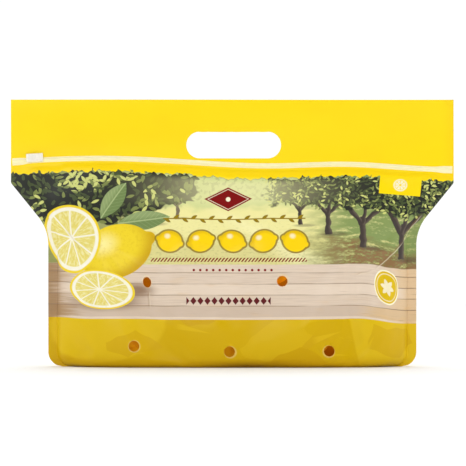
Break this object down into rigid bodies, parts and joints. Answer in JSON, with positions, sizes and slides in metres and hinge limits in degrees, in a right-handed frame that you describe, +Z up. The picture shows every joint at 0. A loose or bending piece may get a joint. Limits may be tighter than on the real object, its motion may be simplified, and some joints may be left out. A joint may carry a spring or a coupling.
{
  "type": "printed stand-up pouch of lemons",
  "caption": "Shut stand-up film pouch full of lemons, with a zip and slider, a wide carrying header with a hand slot, and round punched vent holes.",
  "frame": {"origin": "on the ground, under the middle of the pouch's box", "axes": "+Z up, +X along the header to the right as seen from the front, and the printed front with the zip faces -Y"},
  "size_m": [0.332, 0.0674, 0.2],
  "materials": {
    "printed_film": "satin gloss printed film, yellow header and amber foot with a landscape band between",
    "zip_strip": "milky cream extruded strip",
    "slider_plastic": "white moulded plastic"
  },
  "bodies": {
    "root": {"pouch": "printed_film", "zip_track": "zip_strip", "zip_slider": "slider_plastic"}
  },
  "joints": []
}
